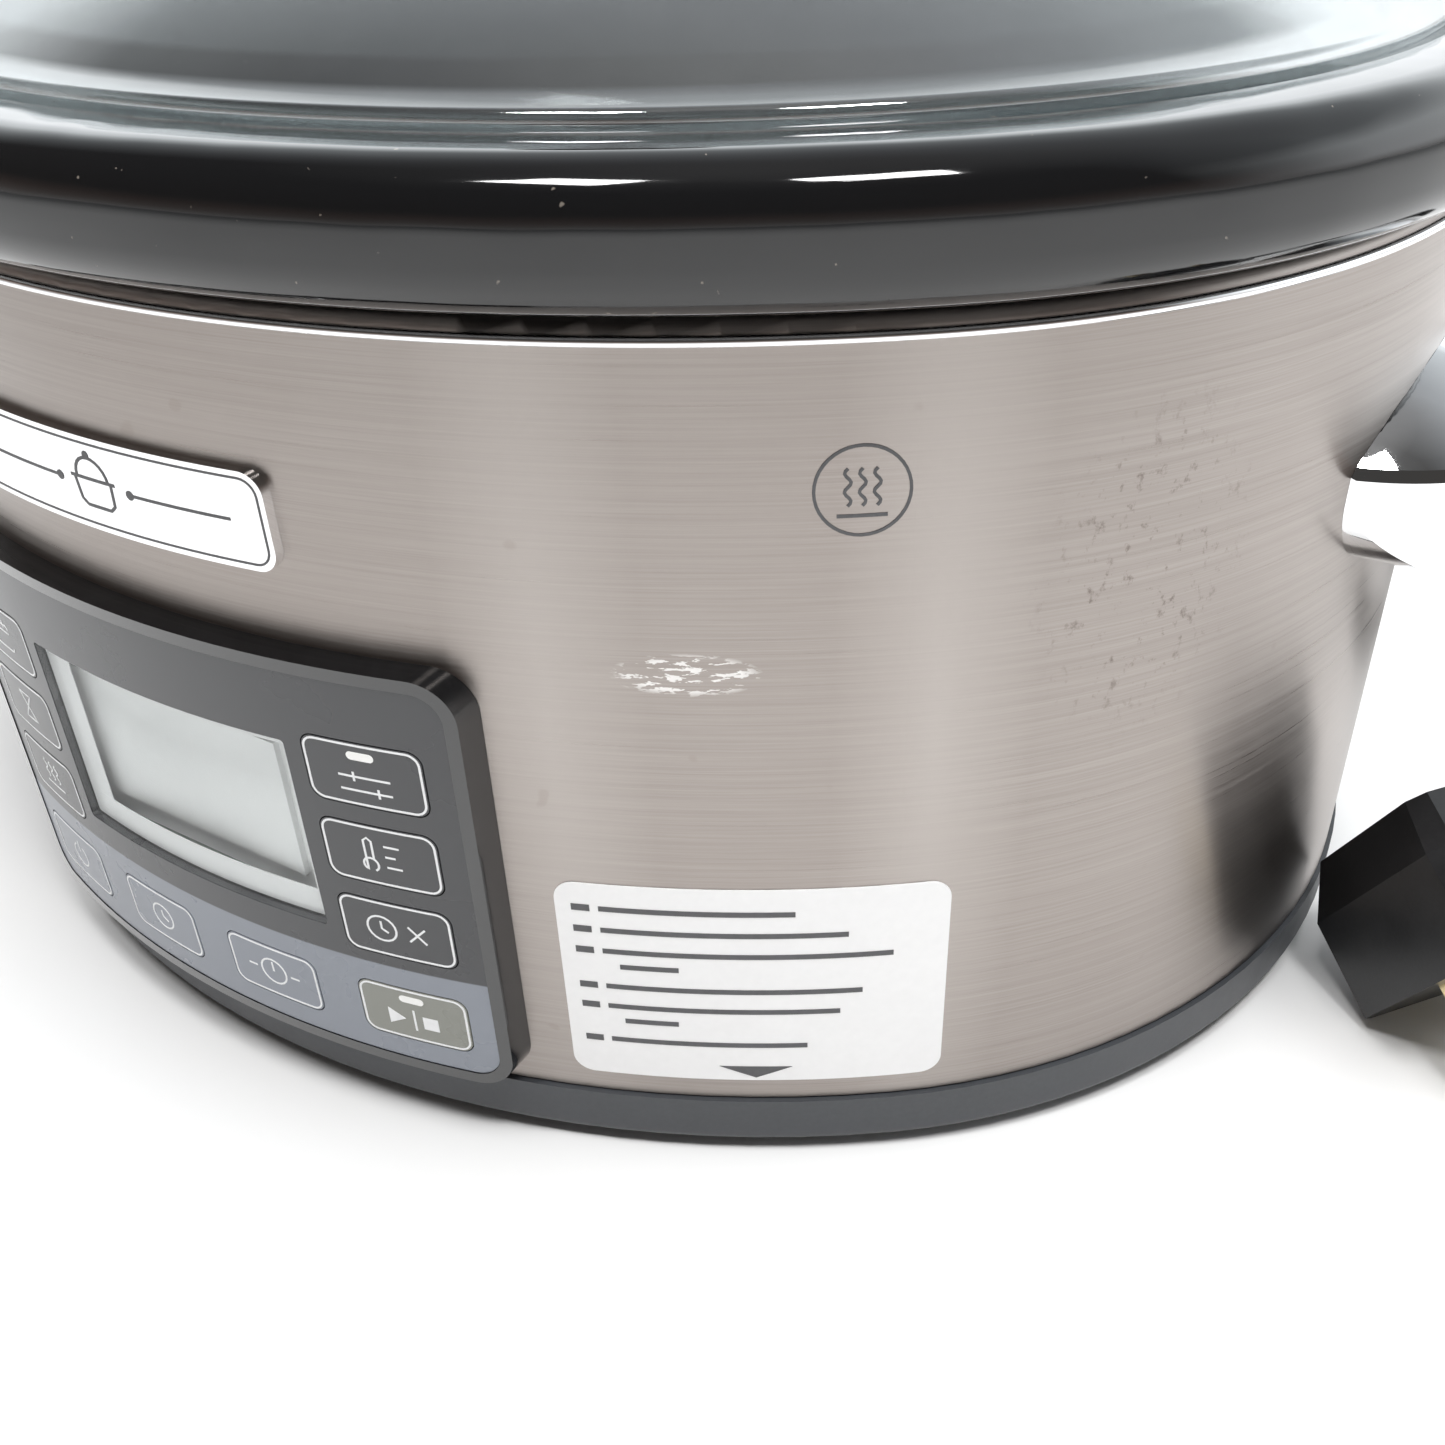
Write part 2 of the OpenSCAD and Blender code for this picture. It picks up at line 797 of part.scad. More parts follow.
// Cord outlet frame: origin on the wall, +Z straight out of it
module outlet_place() {
    translate([side_r * sin(outlet_a), side_r * cos(outlet_a) - side_y, outlet_z])
        rotate([-90, 0, -outlet_a]) children();
}

module cord_tail() {
    color([0.07, 0.07, 0.07]) tube(tail_pts, cord_r);
}

module cord_lead() {
    color([0.07, 0.07, 0.07]) tube(lead_pts, cord_r);
}

module cord_coil() {
    color([0.07, 0.07, 0.07]) translate([coil_c[0], coil_c[1], 0]) rotate_extrude()
        translate([coil_r - cord_r, 0]) square([cord_d, coil_top + cord_r]);
}

module cord_tie() {
    color([0.1, 0.1, 0.1]) translate([coil_c[0], coil_c[1], 0]) rotate([0, 0, 200])
        translate([coil_r, 0, (coil_top + cord_r + 1) / 2]) difference() {
            cube([cord_d + 2, 6, coil_top + cord_r + 1], center = true);
            translate([0, 0, -0.5]) cube([cord_d, 8, coil_top + cord_r], center = true);
        }
}

// Plug frame: +X along the resting edge to the cord, +Y up the pin face, +Z to the pins
module plug_place() {
    translate([plug_corner[0], plug_corner[1], 0]) rotate([0, 0, plug_turn])
        rotate([90 + plug_lean, 0, 0]) children();
}

module plug_outline(k) {
    translate([plug_l / 2, plug_w / 2]) scale(k) translate([-plug_l / 2, -plug_w / 2]) polygon([
        [0, 4], [0, plug_w - 4], [4, plug_w], [30, plug_w],
        [plug_l, plug_w - 16], [plug_l, 16], [30, 0], [4, 0]
    ]);
}

module plug_body() {
    color([0.05, 0.05, 0.05]) plug_place() difference() {
        union() {
            translate([0, 0, -plug_t]) linear_extrude(plug_t) plug_outline(1);
            hull() {
                translate([0, 0, -plug_t]) linear_extrude(1) plug_outline(1);
                translate([0, 0, -plug_t - plug_back]) linear_extrude(1) plug_outline(plug_taper);
            }
            translate([plug_l - 3, plug_w / 2, -plug_t / 2]) rotate([0, 90, 0])
                cylinder(r1 = 7, r2 = cord_r + 1, h = 28);
        }
        translate([plug_l - 4, plug_w / 2, -plug_t / 2]) rotate([0, 90, 0])
            cylinder(r = cord_r, h = 40);
        translate([fuse_x, (plug_w - fuse_w) / 2, -1]) cube([fuse_l, fuse_w, 3]);
    }
}

// Two flat pins side by side and the longer earth pin
module plug_pins() {
    color([0.83, 0.7, 0.4]) plug_place() {
        for (y = [-1, 1])
            translate([earth_x + pin_gap - pin_t / 2, (plug_w + y * pin_gap - pin_w) / 2, 0])
                cube([pin_t, pin_w, pin_l]);
        translate([earth_x - earth_w / 2, (plug_w - pin_t) / 2, 0])
            cube([earth_w, pin_t, earth_l]);
    }
}

module plug_fuse_cover() {
    color([0.35, 0.35, 0.35]) plug_place() translate([fuse_x + 0.1, (plug_w - fuse_w) / 2 + 0.1, -0.9])
        cube([fuse_l - 0.2, fuse_w - 0.2, 0.9]);
}

outer_shell();
base_ring();
bottom_cover();
rubber_feet();
cover_screws();
heating_well();
well_posts();
heater_band();
band_clamp();
thermal_fuse();
temperature_sensor();
power_board();
transformer();
relay();
buzzer();
board_standoffs();
terminal_block();
control_board();
key_switches();
battery_holder();
coin_cell();
lcd_module();
panel_bezel();
panel_face();
display_window();
panel_screws();
badge_plate();
info_label();
panel_key(0);  // key_left_1
panel_key(1);  // key_left_2
panel_key(2);  // key_left_3
panel_key(3);  // key_right_1
panel_key(4);  // key_right_2
panel_key(5);  // key_right_3
panel_key(6);  // key_row_1
panel_key(7);  // key_row_2
panel_key(8);  // key_row_3
panel_key(9);  // key_row_4
rotate([0, 0, 180]) handle();  // handle_left
handle();  // handle_right
rotate([0, 0, 180]) handle_core();  // handle_core_left
handle_core();  // handle_core_right
handle_screws();
stoneware_pot();
lid_glass();
lid_knob();
knob_washer();
knob_screw();
strain_relief();
cord_tail();
cord_coil();
cord_lead();
cord_tie();
plug_body();
plug_pins();
plug_fuse_cover();
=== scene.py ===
"""Slow cooker: the looks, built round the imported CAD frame.

Metres in the shared frame: +Z up, the key panel faces -Y.
"""

import json
import math

import bmesh
import bpy
from mathutils import Matrix, Vector


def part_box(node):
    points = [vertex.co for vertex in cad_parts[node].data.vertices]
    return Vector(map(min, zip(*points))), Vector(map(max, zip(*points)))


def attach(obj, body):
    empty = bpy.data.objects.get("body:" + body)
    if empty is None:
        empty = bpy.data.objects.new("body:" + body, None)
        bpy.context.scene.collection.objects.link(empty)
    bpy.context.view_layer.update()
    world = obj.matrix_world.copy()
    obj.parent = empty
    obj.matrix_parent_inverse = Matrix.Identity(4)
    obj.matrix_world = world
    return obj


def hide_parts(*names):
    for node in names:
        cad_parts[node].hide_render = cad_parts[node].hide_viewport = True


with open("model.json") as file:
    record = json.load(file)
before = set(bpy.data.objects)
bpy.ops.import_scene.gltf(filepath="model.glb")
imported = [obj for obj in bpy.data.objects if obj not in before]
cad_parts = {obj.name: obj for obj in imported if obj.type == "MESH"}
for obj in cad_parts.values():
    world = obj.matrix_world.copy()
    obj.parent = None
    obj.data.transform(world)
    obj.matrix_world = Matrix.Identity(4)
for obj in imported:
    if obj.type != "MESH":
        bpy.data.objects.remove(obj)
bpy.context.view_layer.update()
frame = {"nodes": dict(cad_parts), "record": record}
nodes = frame["nodes"]
scene = bpy.context.scene
MM = 0.001

# The wall's oval: end arcs about (+-END_X, 0) and side arcs about (0, +-SIDE_Y).
# The centres lie on a 3-4-5 triangle, which makes the arcs meet smoothly
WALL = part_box("outer_shell")
END_X = 51 * MM
END_R = WALL[1].x - END_X
SIDE_Y = END_X * 4 / 3
SIDE_R = END_R + END_X * 5 / 3


# ---------------------------------------------------------------- camera

def make_camera():
    """A camera close to the cooker, above its front right, tilted a little."""
    yaw, pitch, roll = 0.5862, 0.5987, -0.0419
    place = (0.21617, -0.28891, 0.23909)
    ahead = Vector((-math.sin(yaw) * math.cos(pitch), math.cos(yaw) * math.cos(pitch),
                    -math.sin(pitch)))
    level = Vector((math.cos(yaw), math.sin(yaw), 0))
    above = level.cross(ahead)
    right = math.cos(roll) * level + math.sin(roll) * above
    up = math.cos(roll) * above - math.sin(roll) * level
    data = bpy.data.cameras.new("camera")
    data.sensor_width = 36
    data.lens = 36.976
    data.clip_start = 0.005
    camera = bpy.data.objects.new("camera", data)
    turn = Matrix((right, up, -ahead)).transposed().to_4x4()
    camera.matrix_world = Matrix.Translation(place) @ turn
    scene.collection.objects.link(camera)
    scene.camera = camera


# ---------------------------------------------------------------- node helpers

def add(tree, kind, inputs=None, **settings):
    """A shader node with its settings, and its inputs set or linked."""
    node = tree.nodes.new(kind)
    for key, value in settings.items():
        setattr(node, key, value)
    for key, value in (inputs or {}).items():
        if isinstance(value, bpy.types.NodeSocket):
            tree.links.new(value, node.inputs[key])
        else:
            node.inputs[key].default_value = value
    return node


def mix(tree, factor, first, second):
    """Colour between two colours."""
    kinds = {0: factor, 6: first, 7: second}
    return add(tree, "ShaderNodeMix", kinds, data_type="RGBA").outputs[2]


def span(tree, value, low, high, to_low=0.0, to_high=1.0):
    """Value mapped from low..high to to_low..to_high, clamped."""
    kinds = {0: value, 1: low, 2: high, 3: to_low, 4: to_high}
    return add(tree, "ShaderNodeMapRange", kinds).outputs[0]


def math_node(tree, operation, first, second=0.0):
    """One arithmetic step on one or two values."""
    return add(tree, "ShaderNodeMath", {0: first, 1: second}, operation=operation).outputs[0]


def noise(tree, scale, detail=4.0, rough=0.6, offset=(0, 0, 0)):
    """Noise in the row's own metres, with its own scale along each axis."""
    place = add(tree, "ShaderNodeTexCoord").outputs["Object"]
    moved = add(tree, "ShaderNodeMapping", {"Vector": place, "Scale": scale,
                                            "Location": offset}).outputs[0]
    made = add(tree, "ShaderNodeTexNoise", {"Vector": moved, "Scale": 1.0,
                                            "Detail": detail, "Roughness": rough})
    return made.outputs["Fac"]


def ramp(tree, factor, stops):
    """Colour ramp through (position, colour) stops."""
    node = add(tree, "ShaderNodeValToRGB", {0: factor})
    elements = node.color_ramp.elements
    for place, colour in stops[2:]:
        elements.new(place)
    for element, (place, colour) in zip(elements, stops):
        element.position = place
        element.color = (*colour, 1)
    return node.outputs["Color"]


def near(tree, centre, radius):
    """1 at a point of the row frame, falling to 0 at radius from it, on each axis."""
    place = add(tree, "ShaderNodeTexCoord").outputs["Object"]
    scale = tuple(1 / r for r in radius)
    offset = tuple(-c / r for c, r in zip(centre, radius))
    moved = add(tree, "ShaderNodeMapping", {"Vector": place, "Scale": scale,
                                            "Location": offset}).outputs[0]
    length = add(tree, "ShaderNodeVectorMath", {0: moved}, operation="LENGTH").outputs["Value"]
    return span(tree, length, 0.0, 1.0, 1.0, 0.0)


def height(tree):
    """The row frame's Z at a point."""
    place = add(tree, "ShaderNodeTexCoord").outputs["Object"]
    return add(tree, "ShaderNodeSeparateXYZ", {0: place}).outputs["Z"]


def shade(colour, factor):
    """The colour made lighter or darker by a factor, with full alpha."""
    return (*(min(1.0, c * factor) for c in colour), 1)


def new_material(name, **constants):
    """An empty Principled material. Constants go straight to the shader's own sockets."""
    made = bpy.data.materials.new(name)
    made.use_nodes = True
    shader = made.node_tree.nodes["Principled BSDF"]
    for key, value in constants.items():
        shader.inputs[key.replace("_", " ")].default_value = value
    return made, made.node_tree, shader


def link(tree, source, shader, name):
    """Feeds a named input of the shader."""
    tree.links.new(source, shader.inputs[name])


def bump(tree, shader, source, strength, depth):
    """Relief of the given depth on the shader's normal."""
    made = add(tree, "ShaderNodeBump", {"Height": source, "Strength": strength,
                                        "Distance": depth})
    tree.links.new(made.outputs[0], shader.inputs["Normal"])


def plain(name, colour, rough, grain, tone=0.08, rough_step=0.06, strength=0.2,
          depth=0.05 * MM, **constants):
    """A material with grain of its own: uneven tone, uneven gloss and a fine relief."""
    made, tree, shader = new_material(name, **constants)
    fine = noise(tree, (grain,) * 3)
    broad = noise(tree, (grain / 14,) * 3, 3.0)
    both = math_node(tree, "MULTIPLY", math_node(tree, "ADD", fine, broad), 0.5)
    link(tree, mix(tree, span(tree, both, 0.35, 0.65), shade(colour, 1 - tone),
                   shade(colour, 1 + tone)), shader, "Base Color")
    link(tree, span(tree, broad, 0.3, 0.7, rough - rough_step, rough + rough_step),
         shader, "Roughness")
    bump(tree, shader, fine, strength, depth)
    return made


# ---------------------------------------------------------------- materials

# Where the panel film changes from charcoal above the key row to slate along it
STRIP_Z = 44 * MM
CHARCOAL = (0.036, 0.037, 0.041)
SLATE = (0.24, 0.262, 0.305)
OLIVE = (0.24, 0.245, 0.215)


def steel_material():
    """Warm-grey steel brushed along the wall, with two bands of painted lamp reflection and
    handling marks.

    The upright bands are lamp reflections painted into the base colour, so they stay in place in
    every view.
    """
    dark, light = (0.30, 0.268, 0.248, 1), (0.39, 0.353, 0.33, 1)
    painted_reflection_colour, cloudy = (0.48, 0.445, 0.42, 1), (0.30, 0.26, 0.24, 1)
    brown, speck, scraped = (0.16, 0.13, 0.115, 1), (0.24, 0.2, 0.17, 1), (0.93, 0.91, 0.89, 1)
    made, tree, shader = new_material("brushed_steel", Metallic=1.0, Anisotropic=0.8,
                                      Anisotropic_Rotation=0.25)
    lines = noise(tree, (30, 30, 3400), 4.0, 0.7)
    long_lines = noise(tree, (9, 9, 1500), 3.0, 0.6)
    cloud = noise(tree, (14, 14, 9), 4.0, 0.55)
    brushed = math_node(tree, "MULTIPLY", math_node(tree, "ADD", lines, long_lines), 0.5)
    tone = mix(tree, span(tree, brushed, 0.36, 0.64), dark, light)
    tone = mix(tree, span(tree, cloud, 0.4, 0.7, 0.0, 0.25), tone, cloudy)
    # Two upright bands of painted lamp reflection, lighter in the base colour
    for x, y, gain in ((80, -136, 0.5), (135, -104, 0.6)):
        painted_reflection_band = near(tree, (x * MM, y * MM, 100 * MM), (17 * MM, 17 * MM, 160 * MM))
        tone = mix(tree, math_node(tree, "MULTIPLY", painted_reflection_band, gain), tone, painted_reflection_colour)
    grime = span(tree, noise(tree, (420, 420, 330), 5.0, 0.7), 0.57, 0.68)
    area = near(tree, (160 * MM, -80 * MM, 124 * MM), (21 * MM, 24 * MM, 34 * MM))
    mask = math_node(tree, "MULTIPLY", grime, span(tree, area, 0.0, 0.5, 0.0, 0.8))
    tone = mix(tree, mask, tone, brown)
    specks = span(tree, noise(tree, (150, 150, 150), 1.0, 0.4, (3, 1, 2)), 0.755, 0.79)
    tone = mix(tree, math_node(tree, "MULTIPLY", specks, 0.22), tone, speck)
    scuff_area = near(tree, (103 * MM, -127 * MM, 112.5 * MM), (15 * MM, 9 * MM, 4.2 * MM))
    scuff = span(tree, noise(tree, (210, 210, 900), 3.0, 0.7, (5, 5, 5)), 0.545, 0.57)
    scuff = math_node(tree, "MULTIPLY", scuff, span(tree, scuff_area, 0.0, 0.3))
    tone = mix(tree, scuff, tone, scraped)
    link(tree, tone, shader, "Base Color")
    link(tree, span(tree, brushed, 0.3, 0.7, 0.26, 0.36), shader, "Roughness")
    link(tree, math_node(tree, "SUBTRACT", 1.0, scuff), shader, "Metallic")
    bump(tree, shader, brushed, 0.16, 0.02 * MM)
    tangent = add(tree, "ShaderNodeTangent", direction_type="RADIAL", axis="Z")
    tree.links.new(tangent.outputs[0], shader.inputs["Tangent"])
    return made


def glaze_material():
    """Gloss black glaze with a slow relief and a few pin specks."""
    made, tree, shader = new_material("pot_glaze", Coat_Weight=0.4, Coat_Roughness=0.02)
    specks = span(tree, noise(tree, (620, 620, 620), 1.0, 0.4), 0.785, 0.81)
    link(tree, mix(tree, specks, (0.006, 0.006, 0.0065, 1), (0.16, 0.14, 0.12, 1)),
         shader, "Base Color")
    link(tree, span(tree, noise(tree, (60, 60, 60)), 0.3, 0.7, 0.035, 0.085),
         shader, "Roughness")
    bump(tree, shader, noise(tree, (30, 30, 48), 1.5, 0.4), 0.75, 1.2 * MM)
    return made


def clear_material(name, gleam, tint, rough):
    """Thin clear sheet that mirrors a fixed share of the room, with a wiped film."""
    made = bpy.data.materials.new(name)
    made.use_nodes = True
    tree = made.node_tree
    film = noise(tree, (40, 40, 40), 5.0, 0.65)
    clear = add(tree, "ShaderNodeBsdfTransparent",
                {"Color": mix(tree, film, shade(tint, 0.97), shade(tint, 1.0))})
    gloss = add(tree, "ShaderNodeBsdfGlossy",
                {"Roughness": span(tree, film, 0.35, 0.75, rough, rough + 0.06)})
    share = span(tree, film, 0.3, 0.7, gleam - 0.03, gleam + 0.03)
    both = add(tree, "ShaderNodeMixShader", {0: share, 1: clear.outputs[0],
                                             2: gloss.outputs[0]})
    tree.links.new(both.outputs[0], tree.nodes["Material Output"].inputs["Surface"])
    tree.nodes.remove(tree.nodes["Principled BSDF"])
    return made


def face_material(name, upper, lower):
    """Printed panel film: one colour above the key row and another along it."""
    made, tree, shader = new_material(name, Coat_Weight=0.25, Coat_Roughness=0.12)
    lines = noise(tree, (60, 60, 60), 3.0)
    step = span(tree, height(tree), STRIP_Z - 0.15 * MM, STRIP_Z + 0.15 * MM)
    tone = mix(tree, step, (*lower, 1), (*upper, 1))
    tone = mix(tree, span(tree, lines, 0.4, 0.7, 0.0, 0.006), tone, (0.3, 0.3, 0.31, 1))
    link(tree, tone, shader, "Base Color")
    link(tree, span(tree, lines, 0.35, 0.65, 0.27, 0.29), shader, "Roughness")
    return made


def chrome_material():
    """Bright plating with faint wiping marks."""
    made, tree, shader = new_material("bright_chrome", Metallic=1.0)
    wipes = noise(tree, (50, 50, 160), 5.0, 0.7)
    link(tree, mix(tree, wipes, (0.80, 0.80, 0.81, 1), (0.93, 0.93, 0.93, 1)),
         shader, "Base Color")
    link(tree, span(tree, wipes, 0.45, 0.75, 0.03, 0.1), shader, "Roughness")
    bump(tree, shader, noise(tree, (45, 45, 45), 2.0), 0.12, 0.25 * MM)
    return made


def floor_material():
    """White table board with the faintest unevenness."""
    made, tree, shader = new_material("floor_white", Specular_IOR_Level=0.2)
    cloud = noise(tree, (2.5, 2.5, 2.5), 4.0)
    link(tree, mix(tree, cloud, (0.86, 0.86, 0.86, 1), (0.9, 0.9, 0.895, 1)),
         shader, "Base Color")
    link(tree, span(tree, cloud, 0.3, 0.7, 0.5, 0.6), shader, "Roughness")
    return made


def make_materials():
    """Every finish by name. The record's slots use the same names."""
    return {
        "brushed_steel": steel_material(),
        "pot_glaze": glaze_material(),
        "lid_glass": clear_material("lid_glass", 0.46, (0.93, 0.965, 0.97), 0.03),
        "window_clear": clear_material("window_clear", 0.07, (0.97, 0.98, 0.98), 0.04),
        "face_charcoal": face_material("face_charcoal", CHARCOAL, SLATE),
        "face_olive": face_material("face_olive", OLIVE, OLIVE),
        "bright_chrome": chrome_material(),
        "base_plastic": plain("base_plastic", (0.055, 0.059, 0.066), 0.42, 900, 0.1),
        "foot_rubber": plain("foot_rubber", (0.025, 0.025, 0.026), 0.7, 700, 0.2),
        "screw_steel": plain("screw_steel", (0.6, 0.6, 0.6), 0.35, 800, Metallic=1.0),
        "well_metal": plain("well_metal", (0.62, 0.62, 0.63), 0.38, 300, Metallic=1.0),
        "heater_wrap": plain("heater_wrap", (0.72, 0.66, 0.52), 0.8, 500, 0.2, strength=0.6),
        "circuit_board": plain("circuit_board", (0.06, 0.24, 0.11), 0.35, 260, 0.25),
        "component_black": plain("component_black", (0.04, 0.04, 0.042), 0.5, 600, 0.15),
        "relay_case": plain("relay_case", (0.08, 0.2, 0.46), 0.35, 500),
        "nylon_white": plain("nylon_white", (0.8, 0.79, 0.75), 0.45, 500),
        "cell_steel": plain("cell_steel", (0.75, 0.75, 0.74), 0.25, 400, Metallic=1.0),
        "display_grey": plain("display_grey", (0.93, 0.94, 0.935), 0.4, 300, 0.02),
        "bezel_black": plain("bezel_black", (0.011, 0.011, 0.012), 0.11, 700, 0.3, 0.03, 0.05,
                             Coat_Weight=0.9, Coat_Roughness=0.04),
        "label_white": plain("label_white", (0.9, 0.9, 0.9), 0.38, 500, 0.02),
        "knob_black": plain("knob_black", (0.014, 0.014, 0.015), 0.16, 500, 0.3, 0.04, 0.1,
                            Coat_Weight=0.4, Coat_Roughness=0.06),
        "cord_black": plain("cord_black", (0.016, 0.016, 0.017), 0.4, 900, 0.25, strength=0.3),
        "plug_black": plain("plug_black", (0.014, 0.014, 0.015), 0.36, 1100, 0.25, strength=0.3),
        "tie_black": plain("tie_black", (0.03, 0.03, 0.03), 0.5, 900, 0.2),
        "pin_brass": plain("pin_brass", (0.83, 0.69, 0.40), 0.22, 300, 0.1, Metallic=1.0),
        "fuse_grey": plain("fuse_grey", (0.1, 0.1, 0.105), 0.45, 700, 0.15),
        "print_white": plain("print_white", (0.86, 0.87, 0.88), 0.4, 800, 0.04),
        "print_grey": plain("print_grey", (0.09, 0.09, 0.095), 0.5, 800, 0.15),
        "lamp_white": plain("lamp_white", (0.95, 0.95, 0.93), 0.3, 500, 0.02),
    }


# ---------------------------------------------------------------- meshes

def finish_piece(name, mesh_builder, material, body, smooth=True):
    """Turns a bmesh into a piece of the object that rides on a body."""
    bmesh.ops.recalc_face_normals(mesh_builder, faces=mesh_builder.faces)
    mesh = bpy.data.meshes.new(name)
    mesh_builder.to_mesh(mesh)
    mesh_builder.free()
    mesh.materials.append(material)
    piece = bpy.data.objects.new(name, mesh)
    scene.collection.objects.link(piece)
    if smooth:
        mesh.shade_smooth()
        mesh.set_sharp_from_angle(angle=math.radians(38))
    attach(piece, body)
    return piece


def arc(cx, cz, r, start, end, count):
    """Points on an arc, angles in degrees."""
    turns = [math.radians(start + (end - start) * i / count) for i in range(count + 1)]
    return [(cx + r * math.cos(t), cz + r * math.sin(t)) for t in turns]


def oval_ring(off, per_arc):
    """Points round the oval, off outside the wall line, per_arc steps on each of its four arcs."""
    join = math.atan2(4, 3)
    ring = []
    for turn in (0, math.pi):
        for centre, radius, start, end in (
            ((END_X, 0), END_R + off, -join, join),
            ((0, -SIDE_Y), SIDE_R + off, join, math.pi - join),
        ):
            for i in range(per_arc):
                a = start + (end - start) * i / per_arc
                x = centre[0] + radius * math.cos(a)
                y = centre[1] + radius * math.sin(a)
                ring.append((x * math.cos(turn) - y * math.sin(turn),
                             x * math.sin(turn) + y * math.cos(turn)))
    return ring


def skin(builder, rings, closed):
    """Quads between rings of vertices. Closed joins last to first, else both ends are filled."""
    count = len(rings)
    for i in range(count if closed else count - 1):
        low, high = rings[i], rings[(i + 1) % count]
        for j in range(len(low)):
            k = (j + 1) % len(low)
            builder.faces.new((low[j], low[k], high[k], high[j]))
    if not closed:
        builder.faces.new(rings[0])
        builder.faces.new(rings[-1])


def scaled(points):
    """Pairs of millimetres in metres."""
    return [(x * MM, z * MM) for x, z in points]


def sweep_oval(profile, closed=False, per_arc=72):
    """(Distance, height) points swept round the oval, distances out from the wall line."""
    builder = bmesh.new()
    rings = [[builder.verts.new((x, y, z)) for x, y in oval_ring(off, per_arc)]
             for off, z in profile]
    skin(builder, rings, closed)
    return builder


def lathe(profile, count=96, squeeze=1.0, closed=True):
    """(Radius, height) points turned about Z, squeezed along Y."""
    builder = bmesh.new()
    rings = []
    for r, z in profile:
        turns = [2 * math.pi * j / count for j in range(count)]
        rings.append([builder.verts.new((r * math.cos(t), r * squeeze * math.sin(t), z))
                      for t in turns])
    skin(builder, rings, closed)
    return builder


# ---------------------------------------------------------------- wall

def make_bead(finishes):
    """Bright rolled edge along the top of the wall."""
    middle, r, back = 167.2, 0.9, -0.6
    profile = scaled(arc(0.1, middle, r, -90, 90, 8) + [(back, middle + r), (back, middle - r)])
    builder = sweep_oval(profile, closed=True)
    finish_piece("wall_bead", builder, finishes["bright_chrome"], "housing")


# ---------------------------------------------------------------- pot and lid

def make_pot(finishes):
    """Stoneware with a bull-nosed rim, a gallery for the lid and a rounded heel."""
    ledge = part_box("stoneware_pot")[1].z / MM
    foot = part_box("stoneware_pot")[0].z / MM
    rim = ledge - 21.5
    hub, heel, heel_r, wall = -100, -57, 20, 9
    profile = scaled(
        [(hub, foot)] + arc(heel, foot + heel_r, heel_r, 270, 360, 10)
        + [(-25.4, rim + 0.2), (-24.6, rim)]
        + arc(1, rim + 8, 8, 270, 360, 16) + arc(0, ledge - 9, 9, 0, 90, 20)
        + arc(-8.2, ledge - 1, 1, 90, 180, 6) + arc(-10.2, ledge - 1, 1, 0, -90, 4)
        + arc(-21.5, ledge - 3.5, 1.5, 90, 180, 6) + [(-23.2, ledge - 5.5), (-34, ledge - 11)]
        + arc(heel, foot + heel_r, heel_r - wall, 360, 270, 8) + [(hub, foot + wall)]
    )
    builder = sweep_oval(profile)
    pot = finish_piece("glazed_pot", builder, finishes["pot_glaze"], "pot")
    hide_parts("stoneware_pot")


def make_lid(finishes):
    """Domed glass with a rounded edge and a hole for the knob's screw."""
    low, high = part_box("lid_glass")
    edge, top, base = high.x / MM, high.z / MM, low.z / MM
    glass, inner_reach, screw_r = 4, 152, 3
    brow = edge - 8
    rise = top - base - glass
    radius = (brow * brow + rise * rise) / (2 * rise)
    middle = top - radius
    reach = math.degrees(math.asin(brow / radius))
    inner = math.degrees(math.asin(inner_reach / (radius - glass)))
    hole = math.degrees(math.asin(screw_r / radius))
    profile = scaled(
        arc(0, middle, radius, 90 - hole, 90 - reach, 60)
        + arc(edge - glass / 2, base + glass / 2, glass / 2, 80, -80, 10)
        + [(edge - 14, base), (edge - 18, base + 1.5)]
        + arc(0, middle, radius - glass, 90 - inner, 90 - hole, 60)
    )
    builder = lathe(profile, 180, high.y / high.x)
    lid = finish_piece("domed_lid", builder, finishes["lid_glass"], "lid")
    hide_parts("lid_glass")


def make_knob(finishes):
    """Turned knob with a waisted stem under a broad, softly domed cap."""
    low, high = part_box("lid_knob")
    r, z, h = high.x / MM, low.z / MM, (high.z - low.z) / MM
    brow, shoulder = r - 2.05, 19.4
    profile = scaled(
        [(2.3, z), (12, z)] + arc(11.2, z + 0.8, 0.8, 0, 60, 3)
        + arc(16.4, z + 6.5, 6.2, 200, 120, 8)
        + [(r - 5, z + 12.2)] + arc(r - 4, z + 16, 3.9, 280, 420, 14)
        + [(brow * x, z + shoulder + (h - shoulder) * y) for x, y in arc(0, 0, 1, 4, 86, 18)]
    )
    builder = lathe(profile, 96, 1.0, False)
    knob = finish_piece("turned_knob", builder, finishes["knob_black"], "lid")
    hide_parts("lid_knob")


# ---------------------------------------------------------------- cord

CORD_D = 7 * MM
COIL_CENTRE = (239 * MM, 165 * MM)
COIL_R = 42 * MM
COIL_TURNS = 2.25
COIL_STEP = 7.2 * MM
POINTS_A_TURN = 24
# Degrees from straight back, towards the right, at which the cord leaves the wall
OUTLET_ANGLE = 19
# The route in millimetres, from the outlet to the coil and from the coil to the plug
TAIL = [
    (81.1, 167.4, 30), (85, 178.7, 28.5), (90.5, 192, 22), (99, 203.5, 12.5),
    (112, 211.5, 5.5), (128, 215.5, 3.5), (147, 216, 3.5), (167, 213, 3.5),
    (188, 210.5, 3.5), (212, 208, 3.5), (226, 207.2, 3.5), (239, 207, 3.5),
]
LEAD = [
    (281, 165, 19.7), (281.3, 151, 18.6), (281.5, 136, 14.5), (281.5, 121, 8.5),
    (281, 106, 4.2), (280, 91, 3.5), (278, 76, 5), (273.8, 61.5, 11),
    (267.5, 49, 19.5), (259.3, 37.9, 25.8), (251.8, 29.8, 27.1),
]


